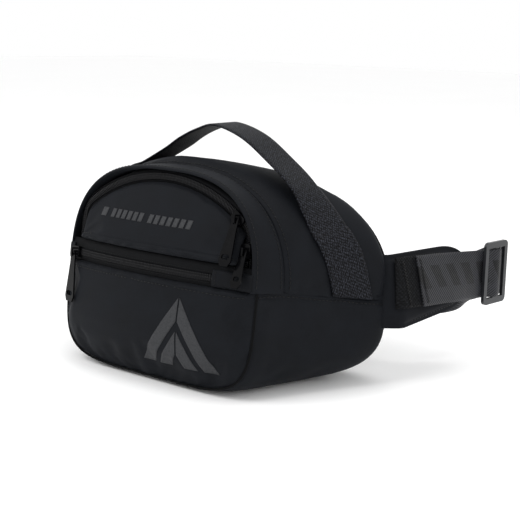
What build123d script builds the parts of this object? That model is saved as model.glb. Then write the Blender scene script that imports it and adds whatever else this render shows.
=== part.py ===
"""Waist bag: zipped front pocket, arched main zip, top handle, hip wings and a buckled belt.

Millimetres, +Z up.  The bag stands on its bottom at z = 0 and its front pocket faces -Y.  The
wearer's back is at +Y, where the belt loop is.  Soft parts are plain closed solids.
"""
from build123d import *
import math
import os

# ---- driving dimensions of the body -------------------------------------------------------
SEAM_Z = 78.0            # height of the side seam at the front, and of the pocket zip
FACE_Y = -46.0           # where the front face meets the gusset
FACE_LEAN = 7.0          # degrees that the front face leans back
FABRIC = 2.4             # thickness of the foam-backed shell fabric
GAP = 0.4                # room between pieces that move past each other
SEAM_GAP = 0.1           # room between the gussets along the side seam

# cross sections from front to back: y, half width, rise above seam, drop below seam,
# seam height, exponent above, exponent below, lean
FRONT = dict(y=FACE_Y, half=93.0, rise=79.5, drop=75.0, seam=SEAM_Z, up=2.7, down=5.0, lean=FACE_LEAN)
HOOD = dict(y=-24.0, half=100.0, rise=86.0, drop=76.2, seam=75.5, up=2.3, down=4.6, lean=5.0)
MIDDLE = dict(y=8.0, half=116.0, rise=87.5, drop=71.7, seam=70.5, up=2.3, down=4.2, lean=1.0)
REAR = dict(y=44.0, half=134.0, rise=86.5, drop=65.6, seam=65.0, up=2.5, down=3.6, lean=0.0)
BACK = dict(y=58.0, half=132.0, rise=81.0, drop=54.0, seam=63.5, up=2.5, down=3.2, lean=0.0)

# ---- front face: one surface of revolution about an axis behind the bag, in the face's frame --
AXIS_BACK = 340.0        # distance of that axis behind the face
BAND_R = 355.7           # radius of the zip band about it
ARCH_R = 128.0           # radius of the main zip's crown
ARCH_DROP = 56.0         # depth of the crown's centre below the side seam
ARCH_HALF = 76.0         # half width of the circular part of the crown
POCKET_COIL_Z = 6.5      # height of the pocket zip's coil above the seam
BAND_TOP = 17.5          # height of the stitched edge above the pocket zip
COIL = 5.6               # width of a closed coil
COIL_LIFT = 1.2          # how far a coil stands out of its tapes

# ---- straps ---------------------------------------------------------------------------------
HANDLE_WIDTH = 30.0
HANDLE_Y = 14.0
HANDLE_PIVOT_Z = 121.0
HANDLE_THICK = 2.0
BELT_WIDTH = 38.0
BELT_THICK = 1.8
BELT_Z = 71.0
WING_THICK = 6.0
BUCKLE_Y = 112.0

FACE = Pos(0, FACE_Y, SEAM_Z) * Rot(-FACE_LEAN, 0, 0)

os.makedirs("parts", exist_ok=True)


def save(shape, name):
    shape.label = name
    export_step(shape, f"parts/{name}.step")


# ---- outlines -------------------------------------------------------------------------------
def arc_points(half, height, power, steps=12):
    """Points of a superellipse from the right side over the top to the left side."""
    points = []
    for i in range(steps + 1):
        turn = math.pi * i / steps
        c = math.cos(turn)
        s = math.sin(turn) if 0 < i < steps else 0.0
        x = half * math.copysign(abs(c) ** (2 / power), c)
        points.append((x, 0.0, height * s ** (2 / power)))
    return points


def half_curve(half, height, power):
    """The same outline as one smooth edge, upright at both ends."""
    up = 1.0 if height > 0 else -1.0
    return Spline(arc_points(half, height, power), tangents=[(0, 0, up), (0, 0, -up)])


def placed(section):
    return Pos(0, section["y"], section["seam"]) * Rot(-section["lean"], 0, 0)


def full_face(section, inset=0.0):
    upper = half_curve(section["half"] - inset, section["rise"] - inset, section["up"])
    lower = half_curve(section["half"] - inset, inset - section["drop"], section["down"])
    return make_face([upper, lower])


def moved(section, **change):
    out = dict(section)
    out.update(change)
    return out


def between(a, b, share):
    return {key: a[key] + (b[key] - a[key]) * share for key in a}


SHARES = (0.5, 1.0)       # rows of points that a shell strip has between two sections


# ---- body shell -----------------------------------------------------------------------------
def shell_strip(sections, above, inset=0.0, thick=FABRIC):
    """Shell fabric between sections, above or below the seam, thickened inward."""
    rows = []
    ladder = [sections[0]]
    for a, b in zip(sections, sections[1:]):
        ladder += [between(a, b, share) for share in SHARES]
    for s in ladder:
        rise = s["rise"] - inset if above else inset - s["drop"]
        power = s["up"] if above else s["down"]
        rim = arc_points(s["half"] - inset, rise, power, 28)
        rows.append([(placed(s) * Pos(*q)).position for q in rim])
    skin = Face.make_surface_from_array_of_points(rows, tol=0.05, min_deg=1, max_deg=3)
    return Solid.thicken(skin, -thick if above else thick)


def front_solid(inset, margin=0.0):
    """The bulging front of the bag in the face's frame, ahead of the face plane."""
    r = BAND_R - inset
    crown = math.hypot(AXIS_BACK, ARCH_R) - inset
    top = FRONT["rise"] + 6
    profile = [(r, 0), (r + 1.8, -28), (r - 0.5, -52), (r - 8.0, -68), (r - 18.0, -80)]
    sphere = []
    for i in range(6):
        z = BAND_TOP + (top - BAND_TOP) * i / 5
        sphere.append((math.sqrt(crown ** 2 - (z + ARCH_DROP) ** 2), z))
    lower = Spline([(0, -q[0], q[1]) for q in profile])
    upper = Spline([(0, -q[0], q[1]) for q in sphere])
    start = upper @ 0
    end = upper @ 1
    foot = lower @ 1
    inner = -AXIS_BACK + 60
    edges = [lower, upper, Line(lower @ 0, start), Line(end, (0, inner, end.Z)),
             Line((0, inner, end.Z), (0, inner, foot.Z)), Line((0, inner, foot.Z), foot)]
    wedge = revolve(make_face(edges), Axis.Z, 40)
    bulge = Pos(0, AXIS_BACK, 0) * Rot(0, 0, -20) * wedge
    outline = extrude(full_face(FRONT, inset + margin), 60, dir=(0, -1, 0))
    return bulge & outline


def slab(z_low, z_high):
    return Pos(0, 0, (z_low + z_high) / 2) * Box(300, 300, z_high - z_low)


def arch_path(offset=0.0, legs=True):
    """Line of the main zip: a circular crown, two tight shoulders and two upright legs."""
    radius = ARCH_R + offset
    turn = math.degrees(math.asin(ARCH_HALF / ARCH_R))
    crown = CenterArc((0, -ARCH_DROP), radius, 90 - turn, 2 * turn)
    if not legs:
        return [crown]
    shoulder_r = 15.0 + offset
    edges = [crown]
    for side in (-1, 1):
        away = math.radians(90 - side * turn)
        reach = ARCH_R - 15.0
        cx = reach * math.cos(away)
        cz = -ARCH_DROP + reach * math.sin(away)
        start = math.degrees(away)
        sweep_angle = -(90 - turn) if side > 0 else (90 - turn)
        edges.append(CenterArc((cx, cz), shoulder_r, start, sweep_angle))
        foot_x = cx + side * shoulder_r
        edges.append(Line((foot_x, cz), (foot_x, BAND_TOP)))
    return edges


def arch_region(offset):
    """Everything inside the arch, as a face in the face's plane."""
    edges = arch_path(offset)
    feet = [e @ 1 for e in edges if abs((e @ 1).Y - BAND_TOP) < 1e-6]
    edges.append(Line(feet[0], feet[1]))
    return Plane.XZ * make_face(edges)


def arch_ring(outer, inner, y_front, y_back):
    ring = extrude(arch_region(outer), y_back - y_front, dir=(0, 1, 0))
    hole = extrude(arch_region(inner), y_back - y_front, dir=(0, 1, 0))
    hole = hole + Pos(0, (y_back - y_front) / 2, BAND_TOP - 5) * Box(
        2 * (ARCH_HALF + 12 + inner), y_back - y_front, 10)
    return Pos(0, y_front, 0) * (ring - hole)


def make_front():
    under_hood = 2.0
    pocket = front_solid(0) - front_solid(FABRIC)
    shell = front_solid(0, under_hood) - front_solid(FABRIC, under_hood)
    bottom = -FRONT["drop"] - 5
    coil_low = POCKET_COIL_Z - COIL / 2
    coil_high = POCKET_COIL_Z + COIL / 2
    save(FACE * (pocket & slab(bottom, 0)), "front_pocket_panel")
    thin = front_solid(1.0, under_hood) - front_solid(2.0, under_hood)
    save(FACE * (thin & slab(0, coil_low)), "pocket_zip_tape_lower")
    save(FACE * (thin & slab(coil_high, BAND_TOP)), "pocket_zip_tape_upper")
    coil_body = front_solid(1.0 - COIL_LIFT, under_hood) - front_solid(2.2, under_hood)
    run = Pos(-12, 0, 0) * Box(144, 300, 200)
    save(FACE * (coil_body & slab(coil_low, coil_high) & run), "pocket_zip_coil")
    tab = Pos(76.2, 0, 0) * Box(31.6, 300, 200)
    save(FACE * (shell & slab(coil_low, coil_high) & tab), "pocket_zip_end_tab")
    stop = Pos(-88.6, 0, 0) * Box(8, 300, 200)
    save(FACE * (shell & slab(coil_low, coil_high) & stop), "pocket_zip_left_tab")
    upper_cut = extrude(arch_region(-COIL / 2 - 2.2), 80, dir=(0, -1, 0))
    panel = shell & (Pos(0, 10, 0) * upper_cut) & slab(BAND_TOP, 100)
    save(FACE * panel, "front_upper_panel")
    half = COIL / 2
    save(FACE * arch_ring(half, -half, -2.4, 0.4), "main_zip_coil")
    save(FACE * arch_ring(-half - 0.1, -half - 7.0, 0.6, 1.4), "main_zip_tape_front")
    save(FACE * arch_ring(half + 1.0, half + 0.1, -1.0, 8.0), "main_zip_tape_rear")


def make_shell():
    hood_front = moved(FRONT, y=FACE_Y - 4.0)
    save(shell_strip([hood_front, FRONT, HOOD], True, 0.0, 1.6), "hood_band")
    save(shell_strip([between(HOOD, MIDDLE, 0.03), MIDDLE, REAR, BACK], True), "upper_gusset")
    lower = shell_strip([FRONT, HOOD, MIDDLE, REAR, BACK], False)
    lean = math.radians(FACE_LEAN)
    lower = Pos(0, -SEAM_GAP * math.sin(lean), -SEAM_GAP * math.cos(lean)) * lower
    save(lower - Pos(0, 0, -10) * Box(300, 300, 20), "lower_gusset")
    back_face = placed(BACK) * full_face(BACK, 1.0)
    save(Pos(0, 1.0, 0) * extrude(back_face, 9, dir=(0, 1, 0)), "back_panel")
    lining_front = moved(FRONT, y=FACE_Y + 3)
    lower = shell_strip([lining_front, HOOD, MIDDLE, REAR], False, FABRIC + 1.0, 0.8)
    save(lower, "main_lining_lower")
    upper = shell_strip([HOOD, MIDDLE, REAR], True, FABRIC + 1.0, 0.8)
    save(upper, "main_lining_upper")
    divider = FACE * (extrude(full_face(FRONT, 6.5), 1, dir=(0, 1, 0)) & slab(-100, BAND_TOP))
    save(Pos(0, 2.4, 0) * divider, "pocket_divider")
    foam = placed(BACK) * full_face(BACK, 13.0)
    save(Pos(0, -5.0, 0) * extrude(foam, 4.4, dir=(0, 1, 0)), "back_foam")


# ---- zip sliders and pullers -----------------------------------------------------------------
def slider_body():
    """A slider on its chain: the run is along X, the outside is -Y, the bail stands in Z."""
    plate = Box(11.5, 1.6, 8.2)
    plate = fillet(plate.edges().filter_by(Axis.Y), 2.4)
    body = Pos(0, -COIL_LIFT - GAP - 0.8, 0) * plate
    for side in (-1, 1):
        flange = Box(8.5, 1.4, 0.9)
        body += Pos(0, -COIL_LIFT - GAP + 0.5, side * 3.65) * flange
    return body


def bail(length=5.8):
    """Loop that the puller's cross bar lies in, about the pin's own origin."""
    outer = Pos(0, -0.55, 0) * Box(1.2, 3.5, length)
    return outer - Pos(0, 0.1, 0) * Box(2.0, 2.6, length - 2.4)


def puller_body(length=39.0, narrow=5.4, wide=12.0):
    """Flat tapered pull with a slot, hanging down from its cross bar at its own origin."""
    top = 0.6
    outline = make_face(Polyline(
        (-narrow / 2, top), (narrow / 2, top), (narrow / 2 + 0.4, -8), (wide / 2, -length + 4),
        (wide / 2 - 2, -length), (-wide / 2 + 2, -length), (-wide / 2, -length + 4),
        (-narrow / 2 - 0.4, -8), close=True))
    hole = Pos(0, -length + 6.5) * SlotOverall(wide - 4, 3.6)
    window = Pos(0, -2.3) * Rectangle(2.8, 3.4)
    return extrude(Plane.XZ * (outline - hole - window), 0.6, both=True)


def pocket_place(x, out=0.0):
    """Place on the pocket zip at x, turned with the band."""
    angle = math.degrees(math.asin(x / BAND_R))
    return FACE * Pos(0, AXIS_BACK, POCKET_COIL_Z) * Rot(0, 0, angle) * Pos(0, -BAND_R + out, 0)


PIN_OUT = COIL_LIFT + GAP + 1.6 + 1.3
UPPER_TURN = 34.4        # degrees of the upper slider from the top of the arch


def main_place(x, z, turn):
    """Place on the main zip: the middle of the slider and the direction of its run."""
    return FACE * Pos(x, -1.2, z) * Rot(0, turn, 0)


def make_slider(name, place, puller, lay):
    """One slider with its puller, which lies against the face at an angle."""
    pin = place * Pos(0, -PIN_OUT, 0)
    upright = Location(pin.position) * Rot(-FACE_LEAN, 0, 0)
    if name == "pocket":
        upright = pin
    if name == "main_upper":
        save(place * slider_body(), f"{name}_slider")
        save(upright * bail(), f"{name}_bail")
    else:
        save(place * slider_body() + upright * bail(), f"{name}_slider")
    save(upright * Rot(-lay, 0, 0) * puller, f"{name}_puller")
    print(name, "pin", [round(v, 3) for v in pin.position])


def make_sliders():
    make_slider("pocket", pocket_place(-80.0, 1.0), puller_body(), 1.0)
    away = math.radians(90 - UPPER_TURN)
    x = ARCH_R * math.cos(away)
    z = -ARCH_DROP + ARCH_R * math.sin(away)
    make_slider("main_upper", main_place(x, z, UPPER_TURN), puller_body(34.0, 5.4, 11.0), 15.0)
    turn = math.asin(ARCH_HALF / ARCH_R)
    x = (ARCH_R - 15) * math.sin(turn) + 15
    z = -ARCH_DROP + (ARCH_R - 15) * math.cos(turn) - 7
    make_slider("main_lower", main_place(x, z, 90), puller_body(26.0, 5.4, 9.0), 15.0)


# ---- handle ----------------------------------------------------------------------------------
HANDLE_LINE = [(-111, 122.2), (-98, 137.2), (-81, 148.4), (-60, 156.6), (-38, 162.8), (-12, 178),
               (12, 186), (38, 179), (62, 165), (86, 147.2), (111, 122.2)]


def ribbon(points, thick, width, y_mid):
    """A strap whose centre line lies in the XZ plane and whose width runs along Y."""
    line = Spline([(p[0], p[1]) for p in points])
    face = Plane.XZ * trace(line, thick)
    return Pos(0, y_mid, 0) * extrude(face, width / 2, both=True)


def shell_x(z, y):
    """Half width of the upper gusset at a height, between its sections."""
    for a, b in ((HOOD, MIDDLE), (MIDDLE, REAR), (REAR, BACK)):
        if a["y"] <= y <= b["y"]:
            s = between(a, b, (y - a["y"]) / (b["y"] - a["y"]))
            share = min(max((z - s["seam"]) / s["rise"], 0.0), 1.0)
            return s["half"] * (1 - share ** s["up"]) ** (1 / s["up"])
    raise ValueError("outside the gusset")


def handle_leg(side):
    """The sewn end of the handle, lying on the gusset from the pivot down to the side seam."""
    stations = []
    steps = 5
    for i in range(steps + 1):
        share = i / steps
        z = 113.5 + (71.5 - 113.5) * share
        y_mid = HANDLE_Y + 8.0 * share
        corners = []
        for lift in (1.3, 1.3 + HANDLE_THICK):
            for across in (-1, 1):
                y = y_mid + across * HANDLE_WIDTH / 2
                corners.append((side * (shell_x(z, y) + lift), y, z))
        order = [corners[0], corners[1], corners[3], corners[2]]
        stations.append(make_face(Polyline(*order, close=True)))
    return loft(stations, ruled=True)


def make_handle():
    save(ribbon(HANDLE_LINE, HANDLE_THICK, HANDLE_WIDTH, HANDLE_Y), "handle_loop")
    for side, name in ((-1, "left"), (1, "right")):
        save(handle_leg(side), f"handle_leg_{name}")


# ---- wings, belt and buckle --------------------------------------------------------------------
def plan_strap(edges, thick, z_low, z_high):
    """A strap that stands on edge: its centre line in plan and its height from z to z."""
    return Pos(0, 0, z_low) * extrude(trace(edges, thick), z_high - z_low)


WING_START = Vector(140.5, 63)
WING_END = Vector(149.0, 146)
RUN = (WING_END - WING_START).normalized()
OUT = Vector(RUN.Y, -RUN.X)
GLIDE = WING_START + RUN * 109 + OUT * 8.5      # middle of the tri-glide
TURN_Y = 18.5                                   # from the tri-glide's middle to the turn's end


def on_run(along, out, side=1):
    point = WING_START + RUN * along + OUT * out
    return (side * point.X, point.Y)


def on_glide(along, out):
    point = GLIDE + RUN * along + OUT * out
    return (point.X, point.Y)


def make_wing(side, name):
    blank = trace(Line(on_run(0, 0, side), on_run(83.4, 0, side)), WING_THICK)
    wing = Pos(0, 0, 45) * extrude(blank, 52)
    tip = Pos(side * 149, 146, 71) * Box(40, 24, 60)
    nose = Pos(side * 145, 134, 71) * Rot(0, 90, 0) * Cylinder(26, 60)
    save((wing - tip) + (wing & tip & nose), f"wing_{name}")


def make_belt():
    low = BELT_Z - BELT_WIDTH / 2
    high = BELT_Z + BELT_WIDTH / 2
    patch_out = WING_THICK / 2 + BELT_THICK / 2 + 0.15
    belt_out = patch_out + BELT_THICK + 0.15
    for side, name in ((-1, "left"), (1, "right")):
        make_wing(side, name)
        patch = Line(on_run(2, patch_out, side), on_run(49, patch_out, side))
        save(plan_strap(patch, BELT_THICK, low, high), f"wing_patch_{name}")
        end = 86 if side > 0 else 96
        run = Line(on_run(31, belt_out, side), on_run(end, belt_out, side))
        save(plan_strap(run, BELT_THICK, low, high), f"belt_webbing_{name}")
    weave = Spline(on_glide(-12.5, -3.0), on_glide(-7.2, -0.7), on_glide(-3.2, 2.3),
                   on_glide(0, 2.9), on_glide(3.2, 2.3), on_glide(7.2, -0.7),
                   on_glide(12.5, -3.3), on_glide(TURN_Y, -7.3), on_glide(15.5, -12.0),
                   on_glide(0, -15.5))
    save(plan_strap(weave, BELT_THICK, low, high), "belt_turn_right")
    inward = [(0.35, -1), (-1, 0)]
    back = Spline(on_glide(-13.5, -18.0), (114.0, 122.0), (84.0, BUCKLE_Y), tangents=inward)
    back = [back, Line((84.0, BUCKLE_Y), (42.5, BUCKLE_Y))]
    save(plan_strap(back, BELT_THICK, low, high), "belt_return_right")
    turn = Spline(on_run(97, belt_out, -1), on_run(118, 3, -1), on_run(112, -9, -1),
                  on_run(84, -16, -1), (-112.0, 118.0), (-90.0, BUCKLE_Y + 0.6))
    save(plan_strap(turn, BELT_THICK, low, high), "belt_return_left")
    tail = Box(50.0, BELT_THICK, BELT_WIDTH)
    save(Pos(-55.5, BUCKLE_Y - 2.6, BELT_Z) * tail, "plug_webbing")
    keeper = Box(9.0, 5.2, BELT_WIDTH + 5) - Box(10.0, 2.6, BELT_WIDTH + 1.2)
    save(Pos(62.0, BUCKLE_Y, BELT_Z) * keeper, "strap_keeper")


def make_triglide():
    """Flat frame with two slots and a middle bar, standing on edge on the outer belt run."""
    frame = Box(30, 2.6, 50)
    frame = fillet(frame.edges().filter_by(Axis.Y), 4.0)
    for x in (-6.8, 6.8):
        frame -= Pos(x, 0, 0) * Box(8.4, 4.0, BELT_WIDTH + 2)
    heading = math.degrees(math.atan2(RUN.Y, RUN.X))
    save(Pos(GLIDE.X, GLIDE.Y, BELT_Z) * Rot(0, 0, heading) * frame, "triglide")
    print("triglide run", [round(v, 4) for v in RUN], "middle", [round(v, 2) for v in GLIDE])


def make_buckle():
    """Side release buckle: the socket on the right strap, the plug on the left one."""
    place = Pos(0, BUCKLE_Y, BELT_Z)
    body = fillet(Box(30, 12, 50).edges().filter_by(Axis.X), 4.0)
    cavity = Pos(-4, 0, 0) * Box(26, 7.4, 40)
    windows = Pos(-1, 0, 0) * Box(14, 7.4, 60)
    socket = Pos(16, 0, 0) * (body - cavity - windows)
    bars = Pos(36.0, 0, 0) * (Box(12.0, 5.0, 48) - Pos(-0.8, 0, 0) * Box(6.6, 6, BELT_WIDTH + 2))
    save(place * (socket + bars), "buckle_socket")
    base = fillet(Box(9, 11, 48).edges().filter_by(Axis.X), 3.6)
    plug = Pos(-4.0, 0, 0) * base
    guide = Pos(10, 0, 0) * Box(22, 5.0, 7)
    plug += guide
    for side in (-1, 1):
        arm = Pos(9.0, 0, side * 14.0) * Box(19, 5.4, 5.0)
        head = Pos(15.0, 0, side * 17.8) * Box(9, 5.4, 3.0)
        plug += arm + head
    frame = Box(18.0, 5.0, 48) - Pos(-2.0, 0, 0) * Box(8.0, 6, BELT_WIDTH + 2)
    plug += Pos(-17.0, 0, 0) * frame
    save(place * plug, "buckle_plug")


make_front()
make_shell()
make_sliders()
make_handle()
make_belt()
make_triglide()
make_buckle()
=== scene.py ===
"""Waist bag: fabric shell, zips, webbing, studio and camera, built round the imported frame."""
import math

import bmesh
import bpy
import numpy as np
from mathutils import Matrix, Vector
from mathutils.bvhtree import BVHTree
from mathutils.kdtree import KDTree


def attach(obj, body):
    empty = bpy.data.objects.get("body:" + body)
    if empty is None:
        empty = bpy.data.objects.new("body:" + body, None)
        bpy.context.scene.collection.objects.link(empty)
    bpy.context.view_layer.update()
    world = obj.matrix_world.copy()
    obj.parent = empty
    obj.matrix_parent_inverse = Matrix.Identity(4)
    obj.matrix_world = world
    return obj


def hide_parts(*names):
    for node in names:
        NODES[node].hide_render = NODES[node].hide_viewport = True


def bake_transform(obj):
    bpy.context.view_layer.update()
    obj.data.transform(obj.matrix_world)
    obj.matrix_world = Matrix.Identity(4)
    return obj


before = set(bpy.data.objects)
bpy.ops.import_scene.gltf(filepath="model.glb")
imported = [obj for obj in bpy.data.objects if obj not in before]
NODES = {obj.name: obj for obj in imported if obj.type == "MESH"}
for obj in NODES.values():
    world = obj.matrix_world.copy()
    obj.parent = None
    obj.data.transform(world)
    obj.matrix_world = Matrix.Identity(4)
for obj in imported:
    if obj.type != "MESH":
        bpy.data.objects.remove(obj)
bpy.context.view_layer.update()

MM = 0.001

# ---- driving dimensions, in mm ----
SEAM_Z, FACE_Y, LEAN = 78.0, -46.0, math.radians(7.0)
AXIS_BACK = 340.0        # from the face to the upright axis that it bulges about
BAND_R = 355.7           # radius of the pocket zip's band about that axis
BAND_TOP = 17.5
ARCH_R, ARCH_DROP, ARCH_HALF = 128.0, 56.0, 76.0
SHOULDER_R = 15.0
COIL_Z, COIL_PITCH = 6.5, 1.42
COIL_LEFT, COIL_RIGHT = -84.0, 59.5
BELT_Z, BELT_WIDTH, BUCKLE_Y = 71.0, 38.0, 112.0
GLIDE_RUN = 109.0        # from the wing's root to the adjuster
WING_LENGTH, WING_FIRST = 101.0, -18.0
WING_START = np.array([140.5, 63.0])
WING_RUN, WING_OUT = np.array([0.1019, 0.9948]), np.array([0.9948, -0.1019])
HANDLE_WIDTH, HANDLE_Y = 30.0, 14.0
LEG_LOW, LEG_HIGH = 63.0, 118.0
STITCH_PITCH = 3.4
PANEL, TAPE_THICK = 1.8, 0.7

# y, half width, rise, drop, seam height, exponent above, exponent below, lean in degrees
SECTIONS = np.array([
    [-46.0, 93.0, 79.5, 75.0, 78.0, 2.7, 5.0, 7.0],
    [-24.0, 100.0, 82.0, 75.6, 75.5, 2.3, 4.6, 5.0],
    [8.0, 116.0, 87.5, 70.7, 70.5, 2.3, 4.2, 1.0],
    [44.0, 134.0, 86.5, 65.0, 65.0, 2.5, 3.6, 0.0],
    [58.0, 132.0, 81.0, 54.0, 63.5, 2.5, 3.2, 0.0],
])

# the flat front leans back; its own frame has x along the bag, y into it and z up the face
FACE_Y_DIR = np.array([0.0, math.cos(LEAN), -math.sin(LEAN)])
FACE_Z_DIR = np.array([0.0, math.sin(LEAN), math.cos(LEAN)])
FACE_ORIGIN = np.array([0.0, FACE_Y, SEAM_Z])


# ---- small geometry helpers ----
def from_face(x, y, z):
    """A point of the face's own frame, in the bag's frame."""
    return FACE_ORIGIN + np.array([x, 0.0, 0.0]) + y * FACE_Y_DIR + z * FACE_Z_DIR


def smooth(t):
    t = min(max(t, 0.0), 1.0)
    return t * t * (3 - 2 * t)


def unit(v):
    v = np.asarray(v, float)
    return v / np.linalg.norm(v, axis=-1, keepdims=True)


def bell(distance, reach):
    """1 at no distance, falling off to 0 over the reach."""
    return math.exp(-(distance / reach) ** 2)


def run_of(points):
    """Distance along a line of points, at each of them."""
    step = np.linalg.norm(np.diff(np.asarray(points, float), axis=0), axis=1)
    return np.concatenate([[0], np.cumsum(step)])


def link(obj):
    bpy.context.scene.collection.objects.link(obj)
    return obj


def section_at(t):
    """Section parameters at t, where whole numbers are the rows of SECTIONS."""
    i = int(min(max(math.floor(t), 0), len(SECTIONS) - 2))
    u = t - i
    p1, p2 = SECTIONS[i], SECTIONS[i + 1]
    before = SECTIONS[max(i - 1, 0)]
    after = SECTIONS[min(i + 2, len(SECTIONS) - 1)]
    m1 = (p2 - before) / 2 if i > 0 else p2 - p1
    m2 = (after - p1) / 2 if i < len(SECTIONS) - 2 else p2 - p1
    u2, u3 = u * u, u * u * u
    if t < 0:
        return p1 + u * m1
    return ((2 * u3 - 3 * u2 + 1) * p1 + (u3 - 2 * u2 + u) * m1
            + (3 * u2 - 2 * u3) * p2 + (u3 - u2) * m2)


def arc(half, height, power, count):
    """x and z of a rounded half outline from its right end over to its left one."""
    angle = np.linspace(0, math.pi, count)
    c, s = np.cos(angle), np.maximum(np.sin(angle), 0)
    return half * np.sign(c) * np.abs(c) ** (2 / power), height * s ** (2 / power)


def rim(t, above, inset=0.0):
    """Dense points of a section's outline from its right seam point to its left one."""
    y, half, rise, drop, seam, up, down, lean = section_at(t)
    power = up if above else down
    height = rise - inset if above else inset - drop
    x, z = arc(half - inset, height, power, 360)
    lean = math.radians(lean)
    return np.stack([x, y + z * math.sin(lean), seam + z * math.cos(lean)], 1)


def along(points, shares):
    """Points at shares of the length of a dense line."""
    points = np.asarray(points, float)
    total = run_of(points)
    want = np.asarray(shares) * total[-1]
    return np.stack([np.interp(want, total, points[:, k]) for k in range(3)], 1)


def length_of(points):
    return float(run_of(points)[-1])


def eased(count, edge=0.5):
    """Shares from 0 to 1 that are closer together near both ends."""
    t = np.linspace(0, 1, count)
    return (1 - edge) * t + edge * (t - np.sin(2 * math.pi * t) / (2 * math.pi))


def new_object(name, verts, faces):
    mesh = bpy.data.meshes.new(name)
    mesh.from_pydata([tuple(np.asarray(v) * MM) for v in verts], [], [tuple(f) for f in faces])
    mesh.update()
    shade_smooth(mesh)
    return link(bpy.data.objects.new(name, mesh))


def shade_smooth(mesh):
    mesh.polygons.foreach_set("use_smooth", [True] * len(mesh.polygons))


def sheet_faces(rows, columns, flip=False, base=0):
    """Quads of a sheet of points."""
    faces = []
    for j in range(rows - 1):
        for i in range(columns - 1):
            a = base + j * columns + i
            quad = (a, a + 1, a + columns + 1, a + columns)
            faces.append(quad[::-1] if flip else quad)
    return faces


def ring_faces(rings, size, base=0, caps=True):
    """Quads between closed rings of points, with a cap at each end."""
    faces = []
    for a in range(base, base + (rings - 1) * size, size):
        for i in range(size):
            j = (i + 1) % size
            faces.append((a + i, a + j, a + size + j, a + size + i))
    if caps:
        last = base + (rings - 1) * size
        faces += [tuple(range(base, base + size))[::-1], tuple(range(last, last + size))]
    return faces


def set_lay(obj, values):
    """Cloth coordinates (across, along, in metres) that the weave materials read."""
    layer = obj.data.attributes.new("lay", "FLOAT_VECTOR", "POINT")
    layer.data.foreach_set("vector", np.asarray(values, np.float32).ravel())


def grid(name, rows, flip=False):
    """A sheet from rows of points, with its cloth coordinates."""
    rows = [np.asarray(r, float) for r in rows]
    count = len(rows[0])
    obj = new_object(name, np.concatenate(rows), sheet_faces(len(rows), count, flip))
    lay = []
    down = 0.0
    for j, row in enumerate(rows):
        if j:
            down += float(np.median(np.linalg.norm(row - rows[j - 1], axis=1)))
        across = run_of(row)
        across -= across[-1] / 2
        lay += [(a * MM, down * MM, 0.0) for a in across]
    set_lay(obj, lay)
    obj["rows"], obj["columns"] = len(rows), count
    return obj


def thicken(obj, mm, offset=-1.0):
    mod = obj.modifiers.new("thickness", "SOLIDIFY")
    mod.thickness = mm * MM
    mod.offset = offset
    return obj


def apply_modifiers(obj):
    graph = bpy.context.evaluated_depsgraph_get()
    mesh = bpy.data.meshes.new_from_object(obj.evaluated_get(graph), depsgraph=graph)
    obj.modifiers.clear()
    obj.data = mesh
    return obj


def subdivide(obj, levels=1):
    mod = obj.modifiers.new("subdivision", "SUBSURF")
    mod.levels = levels
    mod.render_levels = levels
    return obj


def paint(obj, material):
    obj.data.materials.clear()
    obj.data.materials.append(material)
    return obj


def finish_piece(obj, body, material, slot, *nodes):
    paint(obj, material)
    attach(obj, body)
    if nodes:
        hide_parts(*nodes)
    return obj


def finish_sheet(obj, mm, material, slot, *nodes):
    """Give a sheet on the bag its thickness and material, attach it to the bag and hide the frame
    parts it replaces.
    """
    thicken(obj, mm)
    return finish_piece(obj, "bag", material, slot, *nodes)


def edge_pins(obj):
    """Hold the border of a grid."""
    rows, columns = obj["rows"], obj["columns"]
    group = obj.vertex_groups.new(name="pins")
    border = [j * columns + i for j in range(rows) for i in range(columns)
              if j in (0, rows - 1) or i in (0, columns - 1)]
    group.add(border, 1.0, "REPLACE")


def simulate(obj, slack, frames, pressure=0.0):
    """Cloth simulation of a mesh with its pins group held; each vertex's place before and after."""
    scene = bpy.context.scene
    start = np.array([v.co for v in obj.data.vertices])
    cloth = obj.modifiers.new("cloth", "CLOTH")
    settings = dict(quality=5, mass=0.25, tension_stiffness=9.0, compression_stiffness=9.0,
                    shear_stiffness=4.0, bending_stiffness=0.9, vertex_group_mass="pins",
                    pin_stiffness=1.0, shrink_min=-slack, use_pressure=pressure > 0,
                    uniform_pressure_force=pressure)
    for key, value in settings.items():
        setattr(cloth.settings, key, value)
    cloth.settings.effector_weights.gravity = 0.0
    cloth.collision_settings.use_collision = False
    cloth.point_cache.frame_start, cloth.point_cache.frame_end = 1, frames
    for f in range(1, frames + 1):
        scene.frame_set(f)
    graph = bpy.context.evaluated_depsgraph_get()
    shaped = obj.evaluated_get(graph).to_mesh()
    end = np.array([v.co for v in shaped.vertices])
    obj.evaluated_get(graph).to_mesh_clear()
    obj.modifiers.remove(cloth)
    scene.frame_set(1)
    return start, end


def capped(move, cap):
    """Moves in metres, none longer than cap in mm."""
    size = np.linalg.norm(move, axis=1, keepdims=True)
    limit = cap * MM
    return move * np.where(size > limit, limit / np.maximum(size, 1e-9), 1.0)


def place_vertices(obj, places):
    obj.data.vertices.foreach_set("co", places.ravel())
    obj.data.update()


def drape(obj, slack, cap):
    """Cloth simulation of one panel that is sewn along its border; the result is kept."""
    edge_pins(obj)
    start, end = simulate(obj, slack, 18)
    place_vertices(obj, start + capped(end - start, cap))


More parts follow.
